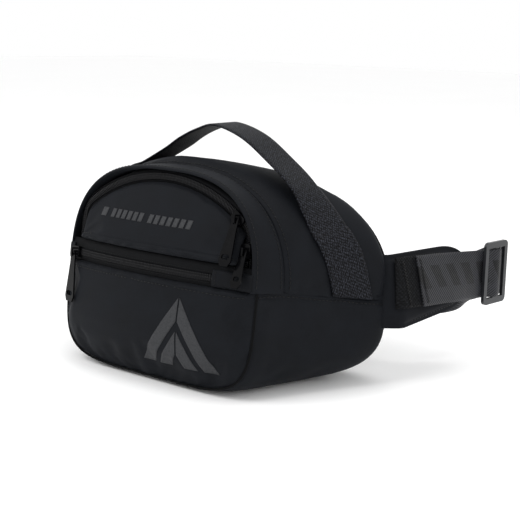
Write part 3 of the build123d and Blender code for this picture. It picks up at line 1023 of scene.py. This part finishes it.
def handle_leg(tree, side):
    """Middle and across direction of one sewn leg, from its foot upward, laid on the gusset."""
    shares = np.linspace(0, 1, 16)
    fitted = {}
    for w in (-1, 0, 1):
        spots = []
        for share in shares:
            z = LEG_LOW + (LEG_HIGH - LEG_LOW) * share
            y = HANDLE_Y + 9.5 * (1 - share) + w * 14
            height = max(z, seam_height(y) + 2.0)
            guess = (side * (body_x(height, y) + 3), y, height)
            spot, _ = on_surface(tree, guess, 1.75, (side, 0, 0.4))
            spot[2] += z - height
            spots.append(spot)
        fitted[w] = np.stack([np.polyval(np.polyfit(shares, np.array(spots)[:, k], 3), shares)
                              for k in range(3)], 1)
    return [(mid, back - front) for front, mid, back in zip(fitted[-1], fitted[0], fitted[1])]


def make_handle(gusset):
    """One strap: sewn up one side of the gusset, free over the top, sewn down the other side."""
    count = 190
    tree = tree_of(gusset)
    loop = [(np.array([x, HANDLE_Y, z]), np.array([0.0, 1.0, 0.0])) for x, z in HANDLE_LOOP[::-1]]
    chain = handle_leg(tree, 1) + loop + handle_leg(tree, -1)[::-1]
    centre = smooth_line([c for c, _ in chain], count)
    share = run_of([c for c, _ in chain])
    want = np.linspace(0, 1, count)
    across = unit([c for _, c in chain])
    sides = np.stack([np.interp(want, share / share[-1], across[:, k]) for k in range(3)], 1)
    piece, sides = strap("handle_strap", centre, sides, HANDLE_WIDTH, 1.9, rows=11)
    for v in piece.data.vertices:
        v.co.z = max(v.co.z, (seam_height(v.co.y / MM) + 0.6) * MM)
    paint(piece, HANDLE_WEB)
    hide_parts("handle_loop", "handle_leg_left", "handle_leg_right")
    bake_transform(piece)
    strap_tree = tree_of(piece)
    for end, label in ((slice(5, 36), "right"), (slice(154, 185), "left")):
        for w in (-1, 1):
            line = centre[end] + sides[end] * w * (HANDLE_WIDTH / 2 - 2.2)
            sew(f"handle_stitches_{label}_{w + 1}", strap_tree, line, lambda s: (s[0], 0, 20),
                lift=0.12, slot="handle_webbing")


# ---- wings and belt ----
def on_run(run, out, z=BELT_Z, side=1):
    """The point a distance along the wing's line and a distance outward from it."""
    p = WING_START + WING_RUN * run + WING_OUT * out
    return np.array([side * p[0], p[1], z])


def run_out(x, y):
    """Distance along the wing's line and outward from it."""
    away = np.array([abs(x), y]) - WING_START
    return away @ WING_RUN, away @ WING_OUT


def lean_at(run):
    """How far the belt's lower edge stands out, per mm of height, at a run from the wing's root."""
    return 0.3 * (1 - smooth((run - 50.0) / 48.0))


def wing_bend(run):
    """How far the wing's root turns into the body's side."""
    return 14.0 * (1 - smooth((run + 18.0) / 12.0))


def wing_edges(share):
    """Lower and upper edge of the wing along its length: it tapers to a rounded tip."""
    low = 43.5 + 8.0 * share
    high = 97.0 - 1.5 * share
    if share > 0.72:
        tip = (share - 0.72) / 0.28
        keep = max(1 - tip ** 2.6, 0.0) ** 0.42
        mid = (low + high) / 2
        low = mid + (low - mid) * keep
        high = mid + (high - mid) * keep
    return low, high


def make_wing(side, name):
    """Padded wing: two faces that meet in a bound edge, thickest along the middle."""
    rows_u = np.concatenate([np.linspace(0, 0.7, 20), 0.7 + 0.3 * eased(18, 0.6)[1:]])
    cols = eased(26, 0.6)
    verts_out, verts_in = [], []
    for u in rows_u:
        run = WING_FIRST + WING_LENGTH * u
        low, high = wing_edges(u)
        half = max((high - low) / 2, 0.05)
        mid = (high + low) / 2
        for v in cols:
            z = mid - half + 2 * half * v
            edge = min(half - abs(z - mid), (1 - u) * WING_LENGTH, 12.0)
            lean = lean_at(run) * (BELT_Z - z) - wing_bend(run)
            pad = 2.6 * smooth(edge / 7.0) + 0.7 - 0.9 * bell(edge - 3.2, 0.9)
            verts_out.append(on_run(run, pad + lean, z, side))
            verts_in.append(on_run(run, -pad + lean, z, side))
    n_u, n_v = len(rows_u), len(cols)
    off = n_u * n_v
    faces = sheet_faces(n_u, n_v) + sheet_faces(n_u, n_v, True, off)
    border = list(range(n_v)) + [j * n_v + n_v - 1 for j in range(1, n_u)]
    border += [(n_u - 1) * n_v + i for i in range(n_v - 2, -1, -1)]
    border += [j * n_v for j in range(n_u - 2, 0, -1)]
    faces += [(a, off + a, off + b, b) for a, b in zip(border, border[1:] + border[:1])]
    piece = new_object(f"wing_pad_{name}", verts_out + verts_in, [f[::side] for f in faces])
    bm = bmesh.new()
    bm.from_mesh(piece.data)
    bmesh.ops.remove_doubles(bm, verts=bm.verts, dist=0.00004)
    bmesh.ops.recalc_face_normals(bm, faces=bm.faces)
    bm.to_mesh(piece.data)
    bm.free()
    shade_smooth(piece.data)

    def free(p):
        """Loose between the edge seam and the webbing patch, held at the root."""
        run, out = run_out(p[0], p[1])
        out += wing_bend(run) - lean_at(run) * (BELT_Z - p[2])
        u = min(max((run - WING_FIRST) / WING_LENGTH, 0.0), 1.0)
        low, high = wing_edges(u)
        edge = min(p[2] - low, high - p[2], (1 - u) * WING_LENGTH)
        loose = smooth((edge - 4.0) / 5.0) * smooth((run - 6.0) / 14.0)
        if out > 0:
            loose *= smooth((abs(p[2] - BELT_Z - 4.0) - 19.0) / 4.0)
        return loose

    swell(piece, free, 2.2, 1.5)
    subdivide(piece)
    paint(piece, SHELL)
    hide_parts(f"wing_{name}")
    apply_modifiers(piece)
    shade_smooth(piece.data)
    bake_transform(piece)
    tree = tree_of(piece)
    for face, out, first in (("out", 1, 0.2), ("in", -1, 0.42)):
        shares = np.linspace(first, 0.955, 60)
        low, high = ([on_run(WING_FIRST + WING_LENGTH * u, 8, wing_edges(u)[k] + inset, side)
                      for u in shares] for k, inset in ((0, 3.3), (1, -3.3)))
        tip = [on_run(WING_FIRST + WING_LENGTH - 3.4, 8, 72.0 + v, side)
               for v in np.linspace(-13, 13, 8)]
        line = np.array(low + tip + high[::-1])
        if out < 0:
            line[:, 0] -= side * 18.0
        sew(f"wing_stitches_{name}_{face}", tree, line, lambda s, d=side * out: (d, 0, 0),
            body="belt")


def zigzag(name, place, across, run, up, body="belt"):
    """Bar of close zigzag stitches across a strap."""
    height, count = 34.0, 30
    centres, runs = [], []
    for k in range(count):
        s = (k + 0.5) / count - 0.5
        centres.append(place + across * s * height + up * 0.12)
        runs.append(run + across * 0.28 * (1 if k % 2 else -1))
    shape = [(-1.5, 0.08, 0.06, -0.1), (-1.2, 0.26, 0.2, 0.0), (0, 0.3, 0.24, 0.05),
             (1.2, 0.26, 0.2, 0.0), (1.5, 0.08, 0.06, -0.1)]
    piece = beads(name, centres, runs, [up] * count, shape)
    return finish_piece(piece, body, THREAD_MAT, "handle_webbing")


def upright_strap(name, plan, count, side=1, material=BELT_WEB):
    """Belt webbing on edge along a plan line of (x, y, height from the belt's middle)."""
    points = smooth_line([(x, y, BELT_Z + dz) for x, y, dz in plan], count)
    sides = []
    for x, y, _ in points:
        run, out = run_out(x, y)
        lean = lean_at(run) if out > 1.5 else 0.0
        sides.append([-side * lean * WING_OUT[0], -lean * WING_OUT[1], 1.0])
    piece, _ = strap(name, points, sides, BELT_WIDTH, 1.7, rows=13)
    paint(piece, material)
    return piece


def plan(places, side=1):
    """Plan points from (run, out, height from the belt's middle)."""
    return [(*on_run(run, out, 0.0, side)[:2], dz) for run, out, dz in places]


# (run, out, dz) on the wings, then (x, y past the buckle's line, dz) behind the bag
RIGHT_WING = [(14, 6.4, 5.6), (40, 6.4, 4.2), (60, 6.4, 2.6), (80, 6.2, 1.0)]
GLIDE_WEAVE = [(-14, 6.0, 0.2), (-7, 8.6, 0.0), (-2, 11.1, 0.0), (2, 11.1, 0.0), (7, 8.4, 0.0),
               (13, 5.6, 0.0), (17.5, 1.6, -0.5), (18.2, -3.5, -1), (12, -7.4, -2.5),
               (-6, -11.5, -7)]
RIGHT_BEHIND = [(136.0, 34.0, -12.5), (114.0, 12.0, -15.5), (90.0, 2.0, -11.5), (72.0, 0.0, -4.5),
                (58.0, 0.0, -0.6), (45.0, -0.3, 0.0), (41.0, -2.0, 0.0), (38.6, -1.0, 0.0),
                (38.2, 1.6, 0.0), (41.0, 3.6, 0.0), (46.0, 2.6, 0.0), (56.0, 2.1, 0.0),
                (68.0, 2.1, -1.6), (78.0, 2.6, -3.2)]
LEFT_WING = [(14, 6.4, 5.6), (40, 6.4, 4.2), (66, 6.4, 2), (90, 6.2, 0.4), (106, 5.4, 0),
             (116, 1.0, 0), (116, -6.0, -1), (106, -10.5, -2)]
LEFT_BEHIND = [(-138.0, 38.0, -4.0), (-118.0, 14.0, -5.0), (-92.0, 1.0, -3.0), (-60.0, 0.0, 0.0),
               (-32.0, 0.0, 0.0), (-25.6, -1.6, 0.0), (-22.6, -0.6, 0.0), (-22.4, 1.6, 0.0),
               (-25.4, 3.6, 0.0), (-31.0, 2.4, 0.0), (-44.0, 2.0, 0.0), (-56.0, 2.0, 0.0)]
WING_PATCH = [(-9, 1.6, 6.5), (-5, 3.6, 6.4), (6, 4.4, 6), (20, 4.6, 5.5), (46, 4.8, 4)]


def behind(places):
    return [(x, BUCKLE_Y + dy, dz) for x, dy, dz in places]


def make_patch(side, name):
    """Webbing patch on a wing, with the stitch bars that hold it and the belt."""
    patch = upright_strap(f"wing_patch_strap_{name}", plan(WING_PATCH, side), 40, side,
                          PATCH_WEB)
    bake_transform(patch)
    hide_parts(f"wing_patch_{name}")
    out = np.array([side * WING_OUT[0], WING_OUT[1], 0.0])
    run = np.array([side * WING_RUN[0], WING_RUN[1], 0.0])
    up = np.array([0, 0, 1.0])
    across, facing = unit(up - out * lean_at(0)), unit(out + up * lean_at(0))
    root, end = (on_run(*place, BELT_Z + 5.4, side) for place in ((22, 5.5), (18.5, 7.4)))
    zigzag(f"patch_bar_{name}_0", root - run * 22, across, run, facing)
    zigzag(f"patch_bar_{name}_1", end, across, run, facing)


def make_keeper():
    """Elastic band round the belt and its tail."""
    loop = []
    for a in np.linspace(0, 2 * math.pi, 64, endpoint=False):
        c, s = math.cos(a), math.sin(a)
        loop.append((62.0, BUCKLE_Y + 1.0 + 2.9 * math.copysign(abs(c) ** 0.5, c),
                     BELT_Z - 0.6 + 20.6 * math.copysign(abs(s) ** 0.12, s)))
    rows = []
    for dx, grow in ((-4.4, -0.25), (-4.2, 0), (-2, 0.12), (2, 0.12), (4.2, 0), (4.4, -0.25)):
        row = []
        for x, y, z in loop + loop[:1]:
            away = np.array([0, y - BUCKLE_Y - 1.0, (z - BELT_Z) * 0.08])
            away /= max(np.linalg.norm(away), 1e-6)
            row.append(np.array([x + dx, y, z]) + away * grow)
        rows.append(row)
    keeper = grid("keeper_elastic", rows)
    thicken(keeper, 1.0, 1.0)
    finish_piece(keeper, "belt", ELASTIC, "elastic", "strap_keeper")


def make_belt():
    for side, name in ((1, "right"), (-1, "left")):
        make_wing(side, name)
        make_patch(side, name)
    weave = [(GLIDE_RUN + run, out, dz) for run, out, dz in GLIDE_WEAVE]
    piece = upright_strap("belt_strap_right", plan(RIGHT_WING + weave) + behind(RIGHT_BEHIND), 420)
    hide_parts("belt_webbing_right", "belt_turn_right", "belt_return_right")
    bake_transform(piece)
    piece = upright_strap("belt_strap_left", plan(LEFT_WING, -1) + behind(LEFT_BEHIND), 360, -1)
    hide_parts("belt_webbing_left", "belt_return_left", "plug_webbing")
    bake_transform(piece)
    zigzag("plug_fold_bar", np.array([-50.0, BUCKLE_Y + 3.0, BELT_Z]), np.array([0, 0, 1.0]),
           np.array([-1.0, 0, 0]), np.array([0, 1.0, 0]), "buckle_plug")
    make_keeper()


# ---- back and inside ----
def make_back():
    """Padded back: a crowned pad with three cushions pressed out between two channels."""
    up, down = (along(rim(4.0, above, 1.6), np.linspace(0, 1, 61)) for above in (True, False))
    ring = np.vstack([up, down[::-1][1:-1]])
    closed = np.vstack([ring, ring[:1]])
    centre = np.array([0.0, 58.0, 72.0])
    channel_x = 44.0
    shares = [0.0] + list(np.linspace(0.06, 0.86, 22)) + [0.9, 0.93, 0.96, 0.98, 0.993, 1.0]
    rows = []
    for share in shares[::-1]:
        row = []
        for p in closed:
            q = centre + (p - centre) * max(share, 0.002)
            edge = (1 - share) * np.linalg.norm(p - centre)
            lift = 6.8 * smooth(edge / 10.0) + 0.8 - 1.2 * bell(edge - 7.0, 1.4)
            for channel in (-channel_x, channel_x):
                lift -= 2.6 * bell(q[0] - channel, 3.2) * smooth(edge / 16.0)
            row.append(np.array([q[0], 58.6 + lift, q[2]]))
        rows.append(row)
    pad = grid("back_pad_cover", rows)
    spokes = ring - centre
    reach = np.linalg.norm(spokes[:, [0, 2]], axis=1)
    turn = np.arctan2(spokes[:, 2], spokes[:, 0])

    def free(p):
        """Loose inside each cushion, held at the rim, the channels and the inner side."""
        away = p - centre
        gap = np.abs(np.angle(np.exp(1j * (turn - math.atan2(away[2], away[0])))))
        edge = reach[np.argmin(gap)] - math.hypot(away[0], away[2])
        channel = abs(abs(p[0]) - channel_x)
        return smooth((edge - 9.0) / 12.0) * smooth((channel - 4.0) / 9.0) * float(p[1] > 60.0)

    swell(pad, free, 4.0, 3.5, depth=6.0)
    finish_sheet(pad, 1.2, MESH_MAT, "mesh_fabric", "back_panel", "back_foam")
    edge = [centre + (p - centre) * [1.006, 0, 1.006] + [0, 0.9, 0] for p in closed]
    binding = tube("back_seam_binding", edge, 1.7, closed_ends=False)
    finish_piece(binding, "bag", TAPE, "zip_tape")
    line = centre + (closed - centre) * 0.935
    line[:, 1] = 70.0
    sew("back_pad_stitches", tree_of(pad), line, lambda s: (0, 1, 0))


def make_linings():
    for above, name, node, t_low in ((True, "lining_upper", "main_lining_upper", 1.0),
                                     (False, "lining_lower", "main_lining_lower", 0.1)):
        rows = [along(rim(t, above, 6.0), np.linspace(0, 1, 60))
                for t in np.linspace(t_low, 3.85, 24)]
        finish_sheet(grid(name, rows, flip=above), 0.5, LINING, "lining", node)
    rows = []
    for z in -70.0 + (BAND_TOP + 68.0) * np.linspace(0, 1, 24):
        half = 86.0 * (1 - abs(min(z, 0) / 76.0) ** 6) ** 0.17
        rows.append([from_face(x, 3.2 + 0.6 * math.sin(x / 21.0), z)
                     for x in np.linspace(-half, half, 50)])
    finish_sheet(grid("pocket_divider_sheet", rows), 0.6, LINING, "lining", "pocket_divider")


# ---- hardware kept from the frame ----
def dress_hardware():
    for name, node in NODES.items():
        if "slider" in name or "puller" in name or "bail" in name:
            paint_node(node, LACQUER, 0.22)
        elif name.startswith("buckle"):
            paint_node(node, PLASTIC, 0.5)
        elif name == "triglide":
            paint_node(node, SATIN, 0.7)


def paint_node(node, material, radius):
    for slot in node.material_slots:
        slot.material = material
    if not node.material_slots:
        node.data.materials.append(material)
    mod = node.modifiers.new("soft_edges", "BEVEL")
    mod.width = radius * MM
    mod.segments = 2
    mod.limit_method = "ANGLE"
    mod.angle_limit = math.radians(35)
    mod.harden_normals = True


# ---- studio ----
CAMERA_AZIMUTH = 38.5
CAMERA_RISE = 11.3
CAMERA_ROLL = 1.3
CAMERA_AWAY = 862.0
CAMERA_AIM = (58.0, 0.0, 90.5)
LENS = 81.6


def make_camera():
    az, el = math.radians(CAMERA_AZIMUTH), math.radians(CAMERA_RISE)
    back = Vector((math.sin(az) * math.cos(el), -math.cos(az) * math.cos(el), math.sin(el)))
    right = Vector((math.cos(az), math.sin(az), 0.0))
    up = back.cross(right)
    roll = math.radians(CAMERA_ROLL)
    turned_right = right * math.cos(roll) + up * math.sin(roll)
    turned_up = up * math.cos(roll) - right * math.sin(roll)
    data = bpy.data.cameras.new("camera")
    data.lens = LENS
    data.sensor_width = 36.0
    camera = link(bpy.data.objects.new("camera", data))
    matrix = Matrix((turned_right, turned_up, back)).transposed().to_4x4()
    matrix.translation = (Vector(CAMERA_AIM) + back * CAMERA_AWAY) * MM
    camera.matrix_world = matrix
    bpy.context.scene.camera = camera


def area_light(name, place, aim, size, power):
    data = bpy.data.lights.new(name, "AREA")
    data.shape = "RECTANGLE"
    data.size, data.size_y = size
    data.energy = power
    lamp = link(bpy.data.objects.new(name, data))
    lamp.location = place
    lamp.rotation_euler = (Vector(aim) - Vector(place)).to_track_quat("-Z", "Y").to_euler()


def make_studio():
    reach = 6.0
    mesh = bpy.data.meshes.new("studio_floor")
    mesh.from_pydata([(x * reach, y * reach, 0) for x, y in ((-1, -1), (1, -1), (1, 1), (-1, 1))],
                     [], [(0, 1, 2, 3)])
    floor = link(bpy.data.objects.new("studio_floor", mesh))
    n = Nodes("studio_floor")
    grain = n.noise(n.place(), 3.0)
    n.link("Base Color", n.ramp(grain, [(0.3, (0.975,) * 3), (0.7, (0.985,) * 3)]))
    n.set(Roughness=0.75, Specular_IOR_Level=0.2)
    paint(floor, n.material)
    world = bpy.data.worlds.new("studio_world")
    bpy.context.scene.world = world
    world.use_nodes = True
    background = world.node_tree.nodes["Background"]
    background.inputs["Color"].default_value = (1, 1, 1, 1)
    background.inputs["Strength"].default_value = 1.0
    area_light("key", (-0.5, -1.1, 1.3), (0, 0, 0.08), (0.9, 0.9), 11)
    area_light("side", (1.5, -0.25, 0.75), (0.05, 0.0, 0.08), (0.7, 1.1), 4)
    area_light("top", (0.1, 0.35, 1.5), (0, 0, 0.1), (1.0, 0.8), 6)
    bpy.context.scene.view_settings.view_transform = "Standard"


def build():
    upper = make_body()
    make_hood()
    pocket = make_pocket_panel()
    front = make_upper_panel()
    make_piping()
    make_pocket_zip()
    make_main_zip()
    make_marks(pocket, front)
    make_handle(upper)
    make_belt()
    make_back()
    make_linings()
    dress_hardware()
    make_camera()
    make_studio()


build()
